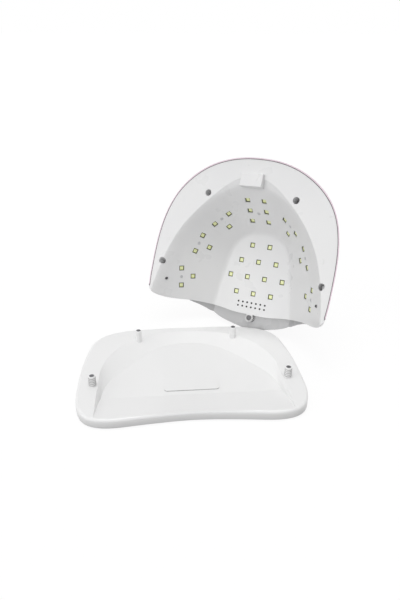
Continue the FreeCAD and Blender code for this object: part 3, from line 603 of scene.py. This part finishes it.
# ------------------------------------------------------------------ control board
# A green laminate board hangs on four struts under the panel, with the switches, the digits, a
# microcontroller, an inductor and two capacitors soldered to it.
laminate = new_material("green laminate", (0.02, 0.13, 0.05), 0.35, coat=0.3)
vary_colour(laminate, 340, (0.015, 0.10, 0.04), (0.03, 0.17, 0.07), detail=4)
finish("control_board", laminate)
chip_black = new_material("chip black", (0.018, 0.018, 0.019), 0.55)
vary_colour(chip_black, 900, (0.014, 0.014, 0.015), (0.026, 0.026, 0.027))
finish("microcontroller", chip_black)
switch_black = new_material("switch black", (0.022, 0.022, 0.023), 0.45)
vary_colour(switch_black, 700, (0.016, 0.016, 0.017), (0.03, 0.03, 0.031))
finish("tact_switches", switch_black)
ferrite = new_material("ferrite", (0.05, 0.05, 0.052), 0.7)
vary_colour(ferrite, 1100, (0.035, 0.035, 0.037), (0.075, 0.075, 0.078))
add_bump(ferrite, 1600, 0.3, 0.0002)
finish("power_inductor", ferrite)
can = new_material("capacitor can", (0.60, 0.60, 0.62), 0.35, metallic=1.0)
vary_roughness(can, 500, 0.28, 0.45)
finish("capacitors", can)

# ------------------------------------------------------------------ rear inlet
# The inlet is a black nylon barrel with a brass pin in its middle. It goes through the back wall
# of the shell and is held there by a nickel-plated nut.
nylon = new_material("inlet nylon", (0.02, 0.02, 0.021), 0.42)
vary_colour(nylon, 400, (0.015, 0.015, 0.016), (0.03, 0.03, 0.031))
add_bump(nylon, 900, 0.15, 0.0001)
finish("dc_socket", nylon)
brass = new_material("pin brass", (0.70, 0.55, 0.24), 0.25, metallic=1.0)
vary_roughness(brass, 1200, 0.2, 0.35)
finish("dc_socket_pin", brass)
nickel = new_material("nut nickel", (0.62, 0.60, 0.56), 0.22, metallic=1.0)
vary_roughness(nickel, 900, 0.16, 0.32)
finish("dc_socket_nut", nickel)

# ------------------------------------------------------------------ table, light and camera
# A plain table runs out into a white room. Both look white to the camera and in reflections, and
# light the part less than that. One lamp is overhead, one is low on the left and a weak one is in
# front, all so far off that they light everything evenly.
bpy.ops.mesh.primitive_plane_add(size=30, location=(0, 0, 0))
table = bpy.context.object
table.name = "table"
TABLE_GLOW, GLOW_SHARE, ROOM_LEVEL, REFLECTED_ROOM = 1.13, 0.8, 0.52, 0.7
surface = new_material("table white", (0.50, 0.50, 0.50), 0.9)
tree = surface.node_tree
paths = tree.nodes.new("ShaderNodeLightPath")
seen = tree.nodes.new("ShaderNodeMath")
seen.operation = "MAXIMUM"
wire(surface, paths.outputs["Is Camera Ray"], seen.inputs[0])
wire(surface, paths.outputs["Is Glossy Ray"], seen.inputs[1])
glow = tree.nodes.new("ShaderNodeEmission")
glow.inputs["Strength"].default_value = TABLE_GLOW
mixed = tree.nodes.new("ShaderNodeMixShader")
wire(surface, spread_of(surface, seen.outputs["Value"], 0, 1, 0, GLOW_SHARE), mixed.inputs["Fac"])
wire(surface, tree.nodes["Principled BSDF"].outputs["BSDF"], mixed.inputs[1])
wire(surface, glow.outputs["Emission"], mixed.inputs[2])
wire(surface, mixed.outputs["Shader"], tree.nodes["Material Output"].inputs["Surface"])
table.data.materials.append(surface)

world = bpy.data.worlds.new("studio")
world.use_nodes = True
bpy.context.scene.world = world
tree = world.node_tree
room = tree.nodes["Background"]
room.inputs["Color"].default_value = (1, 1, 1, 1)
paths = tree.nodes.new("ShaderNodeLightPath")
reflected = tree.nodes.new("ShaderNodeMath")
reflected.operation = "MULTIPLY"
reflected.inputs[1].default_value = REFLECTED_ROOM
tree.links.new(paths.outputs["Is Glossy Ray"], reflected.inputs[0])
bright = tree.nodes.new("ShaderNodeMath")
bright.operation = "MAXIMUM"
tree.links.new(reflected.outputs["Value"], bright.inputs[0])
tree.links.new(paths.outputs["Is Camera Ray"], bright.inputs[1])
level = tree.nodes.new("ShaderNodeMapRange")
level.inputs["To Min"].default_value = ROOM_LEVEL
level.inputs["To Max"].default_value = 1.0
tree.links.new(bright.outputs["Value"], level.inputs["Value"])
tree.links.new(level.outputs["Result"], room.inputs["Strength"])

for name, power, spread, direction in (("top", 1.15, 40, (-0.05, -0.05, 0.98)),
                                       ("side", 0.75, 50, (-0.88, -0.42, 0.30)),
                                       ("front", 0.25, 60, (0.1, -0.95, 0.2))):
    lamp = bpy.data.lights.new(name, "SUN")
    lamp.energy = power
    lamp.angle = math.radians(spread)
    light = bpy.data.objects.new(name, lamp)
    light.rotation_euler = Vector(direction).to_track_quat("Z", "Y").to_euler()
    bpy.context.collection.objects.link(light)

scene = bpy.context.scene
scene.view_settings.view_transform = "Standard"
camera_data = bpy.data.cameras.new("camera")
camera_data.sensor_width = 36
camera_data.sensor_fit = "AUTO"
camera_data.lens = 33.249
camera = bpy.data.objects.new("camera", camera_data)
AZIMUTH, ELEVATION, ROLL = math.radians(-5.156), math.radians(26.819), math.radians(0.316)
AIM, DISTANCE = Vector((0.00404, 0.12364, 0)), 0.71832
outward = Vector((math.sin(AZIMUTH) * math.cos(ELEVATION), -math.cos(AZIMUTH) * math.cos(ELEVATION),
                  math.sin(ELEVATION)))
camera.matrix_world = (Matrix.Translation(AIM + outward * DISTANCE)
                       @ outward.to_track_quat("Z", "Y").to_matrix().to_4x4()
                       @ Matrix.Rotation(ROLL, 4, "Z"))
bpy.context.collection.objects.link(camera)
scene.camera = camera
